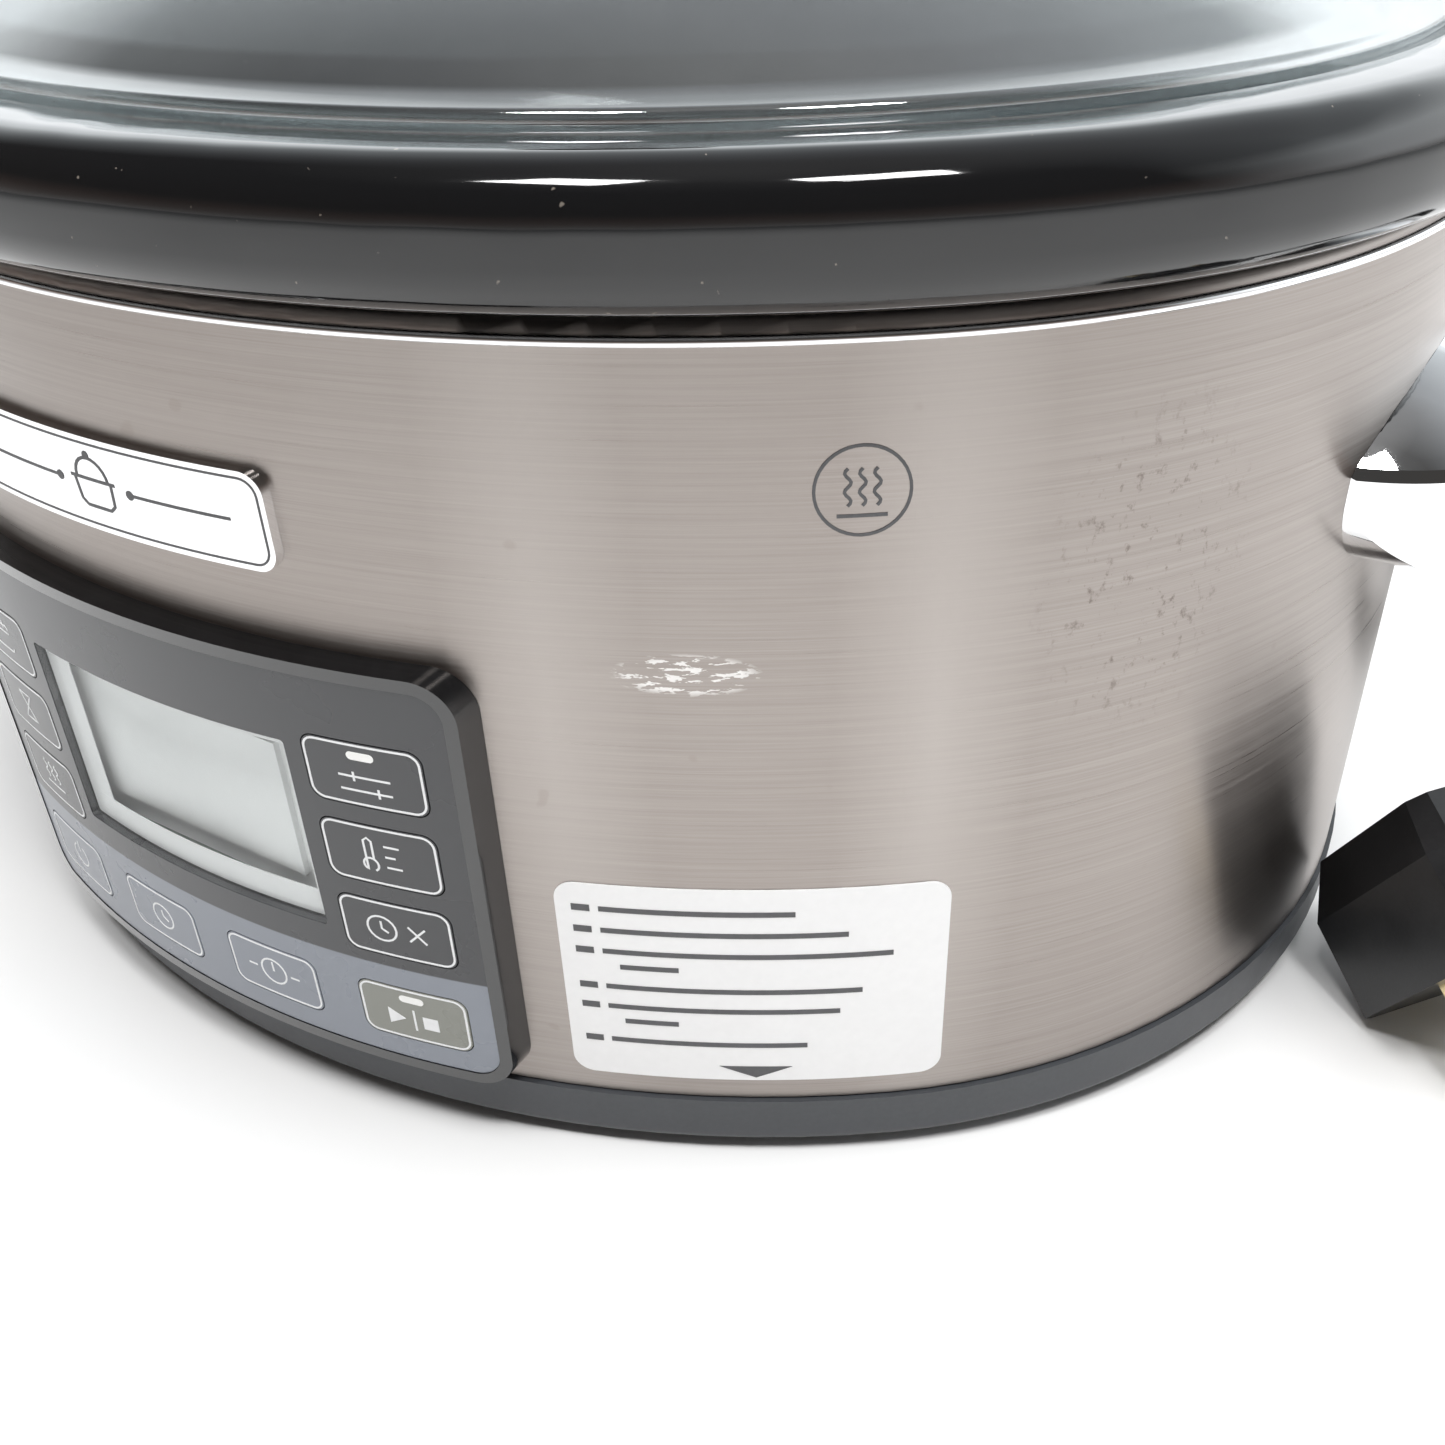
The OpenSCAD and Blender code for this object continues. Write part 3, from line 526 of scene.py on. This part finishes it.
def cord_route():
    """The cord's points: out of the back wall, round the coil and up to the plug."""
    count = round(COIL_TURNS * POINTS_A_TURN)
    coil = []
    for i in range(1, count):
        turn = i / POINTS_A_TURN
        a = math.pi / 2 - 2 * math.pi * turn
        coil.append((COIL_CENTRE[0] + COIL_R * math.cos(a),
                     COIL_CENTRE[1] + COIL_R * math.sin(a), CORD_D / 2 + COIL_STEP * turn))
    tail = [tuple(c * MM for c in p) for p in TAIL]
    lead = [tuple(c * MM for c in p) for p in LEAD]
    return [Vector(p) for p in tail + coil + lead]


def make_cord(finishes):
    """One open curve of round section along the whole route."""
    route = cord_route()
    data = bpy.data.curves.new("mains_cord", "CURVE")
    data.dimensions = "3D"
    data.bevel_depth = CORD_D / 2
    data.bevel_resolution = 5
    data.resolution_u = 6
    data.use_fill_caps = True
    spline = data.splines.new("BEZIER")
    spline.bezier_points.add(len(route) - 1)
    last = len(route) - 1
    for i, point in enumerate(spline.bezier_points):
        pull = (route[min(i + 1, last)] - route[max(i - 1, 0)]) / 6
        point.co = route[i]
        point.handle_left = route[i] - pull
        point.handle_right = route[i] + pull
    data.materials.append(finishes["cord_black"])
    cord = bpy.data.objects.new("mains_cord", data)
    scene.collection.objects.link(cord)
    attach(cord, "housing")
    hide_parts("cord_tail", "cord_coil", "cord_lead")
    return cord, route


def make_boot(finishes):
    """Tapered, ribbed strain relief in the back wall."""
    turn = math.radians(90 - OUTLET_ANGLE)
    out = Vector((math.cos(turn), math.sin(turn), 0))
    seat = Vector((SIDE_R * out.x, SIDE_R * out.y - SIDE_Y, TAIL[0][2] * MM))
    profile = [(3.5, -4.9), (8, -4.9), (8, -1), (5.9, -0.9), (5.9, 0), (8.2, 0.1), (8.2, 2.2),
               (7.6, 3)]
    ribs = 7
    for i in range(ribs):
        z = 4 + i * 3.6
        r = 6.5 - i * 0.27
        profile += [(r, z), (r, z + 2.1), (r - 0.9, z + 2.4), (r - 0.9, z + 3.3)]
    profile += [(4.6, 29.4), (4.2, 30), (3.5, 30)]
    builder = lathe(scaled(profile), 48)
    across = Vector((0, 0, 1)).cross(out)
    basis = Matrix((across, out.cross(across), out)).transposed().to_4x4()
    builder.transform(Matrix.Translation(seat) @ basis)
    boot = finish_piece("ribbed_boot", builder, finishes["foot_rubber"], "housing")
    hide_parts("strain_relief")
    return boot


# ---------------------------------------------------------------- prints on curved walls

def wall_hit(point, direction, off):
    """Where a level line from inside last crosses the oval grown by off."""
    for sign in (1, -1):
        for centre, radius, end in (
            (Vector((sign * END_X, 0)), END_R + off, True),
            (Vector((0, -sign * SIDE_Y)), SIDE_R + off, False),
        ):
            start = point - centre
            along = start.dot(direction)
            inside = along * along - start.length_squared + radius * radius
            hit = point + direction * (math.sqrt(max(inside, 0)) - along)
            normal = (hit - centre) / radius
            if (end and normal.x * sign >= 0.6) or (not end and normal.y * sign > 0.8):
                return hit
    raise ValueError("no crossing")


def on_wall(angle, off, shift=0.0):
    """Maps (right, up) millimetres, seen from outside at angle, to the wall grown by off."""
    out = Vector((math.cos(angle), math.sin(angle)))
    right = Vector((-out.y, out.x))
    # lines start on the side arcs' centre, as the CAD's cuts do
    start = Vector((0, SIDE_Y))

    def place(u, v, lift):
        hit = wall_hit(start + right * (u * MM + shift), out, off + lift)
        return Vector((hit.x, hit.y, v * MM))
    return place


# How far a print stands out of the surface, and how far its back lies in it
PRINT_LIFT = 0.07 * MM
PRINT_ROOT = -0.05 * MM
# Longest straight stretch of a print on a curved wall, in millimetres
STEP = 1.5


def dense(points, closed):
    """The same line with no stretch longer than STEP."""
    made = []
    count = len(points)
    for i in range(count if closed else count - 1):
        a, b = points[i], points[(i + 1) % count]
        parts = max(1, math.ceil(math.dist(a, b) / STEP))
        made += [(a[0] + (b[0] - a[0]) * k / parts, a[1] + (b[1] - a[1]) * k / parts)
                 for k in range(parts)]
    return made if closed else made + [points[-1]]


def ribbon(builder, place, points, width, closed=False):
    """Flat printed line of the given width, as a thin closed solid."""
    points = dense(points, closed)
    count = len(points)
    rings = []
    for i, (u, v) in enumerate(points):
        before = points[i - 1] if closed or i else points[i]
        after = points[(i + 1) % count] if closed or i < count - 1 else points[i]
        run = Vector((after[0] - before[0], after[1] - before[1])).normalized()
        side = Vector((-run.y, run.x)) * width / 2
        left, right = (u + side.x, v + side.y), (u - side.x, v - side.y)
        rings.append([builder.verts.new(place(*p, lift)) for p, lift in (
            (left, PRINT_LIFT), (right, PRINT_LIFT), (right, PRINT_ROOT), (left, PRINT_ROOT))])
    skin(builder, rings, closed)


def patch(builder, place, points):
    """Small flat printed shape, as a thin closed solid."""
    rings = [[builder.verts.new(place(u, v, lift)) for u, v in points]
             for lift in (PRINT_ROOT, PRINT_LIFT)]
    skin(builder, rings, False)


def rounded(cx, cy, w, h, r, steps=6):
    """Outline of a rounded rectangle."""
    made = []
    for sx, sy, start in ((1, 1, 0), (-1, 1, 90), (-1, -1, 180), (1, -1, 270)):
        made += arc(cx + sx * (w / 2 - r), cy + sy * (h / 2 - r), r, start, start + 90, steps)
    return made


def circle(cx, cy, r, start=0, end=360, steps=20):
    """Points round a circle, with no point twice, or along part of it."""
    points = arc(cx, cy, r, start, end, steps)
    return points[:-1] if end - start == 360 else points


def wave(x, y0, y1, size):
    """Upright wavy line."""
    steps = 14
    return [(x + size * math.sin(4 * math.pi * i / steps), y0 + (y1 - y0) * i / steps)
            for i in range(steps + 1)]


# Each icon is its lines and its filled shapes, in millimetres from the middle of its key

def icon_sliders():
    return [[(-5, -0.4), (5, -0.4)], [(-5, -3.4), (5, -3.4)], [(-2, -1.4), (-2, 0.6)],
            [(2.4, -4.4), (2.4, -2.4)]], []


def icon_thermometer():
    return [circle(-2.2, -2.2, 1.5, -60, 240, 14) + [(-3, 3.2), (-2.2, 3.9), (-1.4, 3.2),
                                                    (-1.45, -0.9)],
            [(1, 2.6), (4, 2.6)], [(1, 0.2), (3, 0.2)], [(1, -2.2), (4, -2.2)]], []


def icon_cancel_clock():
    return [circle(-3, 0, 3), [(-3, 1.8), (-3, 0), (-1.7, -0.8)], [(2.6, 1.8), (6, -1.8)],
            [(2.6, -1.8), (6, 1.8)]], []


def icon_calendar():
    return [rounded(0, -0.3, 7.4, 6, 0.8, 3), [(-3.7, 1), (3.7, 1)], [(-1.8, 2), (-1.8, 3.6)],
            [(1.8, 2), (1.8, 3.6)]], []


def icon_hourglass():
    return [[(-2.4, 3.2), (2.4, 3.2), (-2.4, -3.2), (2.4, -3.2), (-2.4, 3.2)]], []


def icon_warm():
    return [wave(x, -1.4, 3.4, 0.5) for x in (-2.4, 0, 2.4)] + [[(-4, -3), (4, -3)]], []


def icon_power():
    return [circle(0, -0.3, 2.9, 120, 420, 18), [(0, 0.6), (0, 3.6)]], []


def icon_hour():
    return [circle(0, 0, 3.2), [(0, 0), (0, 1.6)], [(0, 0), (1.5, -0.9)]], []


def icon_minute():
    return [circle(0, 0, 3.2), [(0, 0), (0, 2.5)], [(4.4, 0), (6.6, 0)],
            [(-6.6, 0), (-4.4, 0)]], []


def icon_play_stop():
    return [[(0, -4), (0, 1.4)]], [[(-5.6, -3.4), (-2, -1.3), (-5.6, 0.8)],
                                   [(1.8, -3), (5, -3), (5, 0.2), (1.8, 0.2)]]


# Each key's icon, and whether it has a lamp
KEYS = {
    "key_left_1": (icon_calendar, False), "key_left_2": (icon_hourglass, False),
    "key_left_3": (icon_warm, False), "key_right_1": (icon_sliders, True),
    "key_right_2": (icon_thermometer, False), "key_right_3": (icon_cancel_clock, False),
    "key_row_1": (icon_power, False), "key_row_2": (icon_hour, False),
    "key_row_3": (icon_minute, False), "key_row_4": (icon_play_stop, True),
}
# The keys' faces, out from the wall line
FACE_OFF = 5.25 * MM
# Width of a printed line, in millimetres
LINE = 0.42


def make_key_prints(finishes):
    """White outline, icon and lamp of each key, riding on the key."""
    place = on_wall(-math.pi / 2, FACE_OFF)
    key_w, key_h, inset = 23, 13.6, 0.45
    for key, (icon, lamp) in KEYS.items():
        low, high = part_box(key)
        cx, cy = (low.x + high.x) / 2 / MM, (low.z + high.z) / 2 / MM
        builder = bmesh.new()
        ribbon(builder, place, rounded(cx, cy, key_w - 2 * inset, key_h - 2 * inset, 2.3),
               LINE, True)
        lines, fills = icon()
        for points in lines:
            shut = len(points) > 12 and math.dist(points[0], points[-1]) < 1.5
            ribbon(builder, place, [(cx + u, cy + v) for u, v in points], LINE, shut)
        for points in fills:
            patch(builder, place, [(cx + u, cy + v) for u, v in points])
        finish_piece("print_" + key, builder, finishes["print_white"], key, False)
        if lamp:
            builder = bmesh.new()
            patch(builder, place, rounded(cx, cy + 4.1, 5.2, 1.7, 0.84))
            finish_piece("lamp_" + key, builder, finishes["lamp_white"], key,
                         False)


LABEL_ANGLE = math.radians(-60)


def make_label_print(finishes):
    """Rows of plain bars and a pointer where a notice would be."""
    place = on_wall(LABEL_ANGLE, 0.3 * MM)
    rows = [(0.52,), (0.66,), (0.78, 0.16), (0.7,), (0.64, 0.15), (0.55,)]
    left, width, top, pitch, bar = -32.5, 68, 62.4, 5.1, 1.15
    builder = bmesh.new()
    z = top
    for row in rows:
        ribbon(builder, place, [(left, z), (left + 3.4, z)], bar + 0.35)
        for i, share in enumerate(row):
            start = left + 5 + (3 if i else 0)
            ribbon(builder, place, [(start, z), (start + width * share, z)], bar)
            z -= pitch if i == len(row) - 1 else 3.7
    for side in (-1, 1):
        patch(builder, place, [(side * 7, 23.8), (side * 3.5, 22.3), (side * 3.5, 23.8)])
        patch(builder, place, [(side * 3.5, 23.8), (side * 3.5, 22.3), (0, 20.8), (0, 23.8)])
    finish_piece("label_bars", builder, finishes["print_grey"], "housing",
                 False)


def make_badge_print(finishes):
    """Thin dark border and a plain cooking-pot ornament on the badge."""
    place = on_wall(-math.pi / 2, 1.8 * MM)
    middle = (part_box("badge_plate")[0].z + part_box("badge_plate")[1].z) / 2 / MM
    builder = bmesh.new()
    ribbon(builder, place, rounded(0, middle, 74.6, 15.4, 3), 0.4, True)
    for side in (-1, 1):
        ribbon(builder, place, [(side * 9, middle), (side * 31, middle)], 0.55)
        patch(builder, place, circle(side * 9, middle, 0.9, steps=12))
    bowl = [(-4.6, 1), (-4.2, -3.2), (-3, -4.2), (3, -4.2), (4.2, -3.2), (4.6, 1)]
    ribbon(builder, place, [(u, middle + v) for u, v in bowl], 0.6)
    ribbon(builder, place, [(-5.6, middle + 1), (5.6, middle + 1)], 0.6)
    ribbon(builder, place, [(u, middle + 1 + v) for u, v in arc(0, 0, 4, 0, 180, 12)], 0.6)
    patch(builder, place, circle(0, middle + 5.5, 0.8, steps=12))
    finish_piece("badge_print", builder, finishes["print_grey"], "housing",
                 False)


def make_pale_border_and_painted_glare(finishes):
    """Pale border behind the window, broad on the left and along the bottom, partly painted light:
    the broad strips brighten the recess's shade, and the left one is a painted reflection band.
    """
    place = on_wall(-math.pi / 2, 3.45 * MM)
    builder = bmesh.new()
    # each strip's two ends and its width, in millimetres
    for ends, width in ((((-33.7, 54.6), (33.7, 54.6)), 6.4),
                        (((-33.7, 92.2), (33.7, 92.2)), 1.6),
                        (((-29.5, 57.8), (-29.5, 91.4)), 8.4),
                        (((32.9, 57.8), (32.9, 91.4)), 1.6)):
        ribbon(builder, place, ends, width)
    finish_piece("display_border_painted_glare", builder, finishes["label_white"], "housing",
                 False)


def make_steam_print(finishes):
    """Small round steam mark on the wall."""
    angle = math.radians(-55.8)
    spot = Vector((125, -112)) * MM
    right = Vector((-math.sin(angle), math.cos(angle)))
    shift = (spot - Vector((0, SIDE_Y))).dot(right)
    place = on_wall(angle, 0.0, shift)
    z = 144
    builder = bmesh.new()
    ribbon(builder, place, circle(0, z, 7.2, steps=40), 0.5, True)
    for x in (-2.2, 0, 2.2):
        ribbon(builder, place, wave(x, z - 2.4, z + 3.6, 0.5), 0.5)
    ribbon(builder, place, [(-3.8, z - 4), (3.8, z - 4)], 0.55)
    finish_piece("steam_mark", builder, finishes["print_grey"], "housing",
                 False)


# ---------------------------------------------------------------- room

def make_floor(finishes):
    """Wide flat table top at the frame's zero height."""
    half = 10
    builder = bmesh.new()
    corners = [builder.verts.new((x, y, 0)) for x, y in
               ((-half, -half), (half, -half), (half, half), (-half, half))]
    builder.faces.new(corners)
    mesh = bpy.data.meshes.new("floor")
    builder.to_mesh(mesh)
    builder.free()
    mesh.materials.append(finishes["floor_white"])
    floor = bpy.data.objects.new("floor", mesh)
    scene.collection.objects.link(floor)


def area_light(name, place, target, width, depth, power, mirrored=True):
    """Rectangular lamp aimed at target. Mirrored says whether reflections show it."""
    data = bpy.data.lights.new(name, "AREA")
    data.shape = "RECTANGLE"
    data.size = width
    data.size_y = depth
    data.energy = power
    lamp = bpy.data.objects.new(name, data)
    lamp.location = place
    lamp.visible_glossy = mirrored
    lamp.rotation_mode = "QUATERNION"
    lamp.rotation_quaternion = (Vector(target) - Vector(place)).to_track_quat("-Z", "Y")
    scene.collection.objects.link(lamp)


def make_lights():
    """A broad soft panel overhead, kept out of reflections, and two small lamps in front."""
    area_light("panel_light", (0.3, 0.1, 1.9), (0.1, 0, 0.1), 1.5, 1.5, 42, False)
    area_light("left_light", (-0.1, -0.72, 1.9), (0.05, -0.1, 0.15), 0.34, 0.24, 11)
    area_light("right_light", (0.68, -0.44, 1.9), (0.1, -0.1, 0.15), 0.34, 0.24, 11)


def make_world():
    """Dim warm room behind the camera, much brighter beyond the cooker."""
    world = bpy.data.worlds.new("room")
    world.use_nodes = True
    scene.world = world
    tree = world.node_tree
    sky = tree.nodes["Background"]
    way = add(tree, "ShaderNodeTexCoord").outputs["Generated"]
    parts = add(tree, "ShaderNodeSeparateXYZ", {0: way}).outputs
    front = ramp(tree, parts["Z"], [
        (0.0, (0.6, 0.58, 0.57)), (0.08, (0.36, 0.31, 0.29)), (0.2, (0.2, 0.15, 0.13)),
        (0.34, (0.06, 0.055, 0.05)), (0.8, (0.05, 0.05, 0.05)), (0.93, (0.12, 0.12, 0.12)),
        (1.0, (0.3, 0.3, 0.3)),
    ])
    back = ramp(tree, parts["Z"], [
        (0.0, (1.0, 1.0, 1.0)), (0.1, (1.8, 1.85, 1.9)), (0.42, (1.9, 2.0, 2.05)),
        (0.6, (0.7, 0.75, 0.78)), (0.85, (0.4, 0.42, 0.44)), (1.0, (0.3, 0.3, 0.3)),
    ])
    side = span(tree, parts["Y"], -0.05, 0.4)
    tree.links.new(mix(tree, side, front, back), sky.inputs["Color"])
    sky.inputs["Strength"].default_value = 1.0


# ---------------------------------------------------------------- assembly

def dress_nodes(finishes):
    """Gives every CAD node that stays the finish of its material slot."""
    for part in frame["record"]["subparts"]:
        node = nodes[part["node"]]
        finish = finishes[part["material_slot"]]
        if part["node"] == "key_row_4":
            finish = finishes["face_olive"]
        if part["node"] == "plug_body":
            finish = finishes["plug_black"]
        node.data.materials.clear()
        node.data.materials.append(finish)
        for face in node.data.polygons:
            face.material_index = 0


# Nodes whose sharp edges are rounded, with the width in millimetres
SOFT_EDGES = {"handle_left": 1.6, "handle_right": 1.6, "plug_body": 1.2, "panel_bezel": 0.5,
              "badge_plate": 0.4}


def soften(name, width):
    """Rounds the sharp edges of a CAD node with a modifier."""
    edge = nodes[name].modifiers.new("soft_edges", "BEVEL")
    edge.width = width
    edge.segments = 3
    edge.limit_method = "ANGLE"
    edge.angle_limit = math.radians(40)
    edge.harden_normals = True


make_camera()
finishes = make_materials()
finishes["floor_white"] = floor_material()
cord, route = make_cord(finishes)
boot = make_boot(finishes)
make_floor(finishes)
make_lights()
make_world()
dress_nodes(finishes)
for name, width in SOFT_EDGES.items():
    soften(name, width * MM)
make_bead(finishes)
make_pot(finishes)
make_lid(finishes)
make_knob(finishes)
make_key_prints(finishes)
make_label_print(finishes)
make_badge_print(finishes)
make_steam_print(finishes)
make_pale_border_and_painted_glare(finishes)
scene.view_settings.view_transform = "Standard"
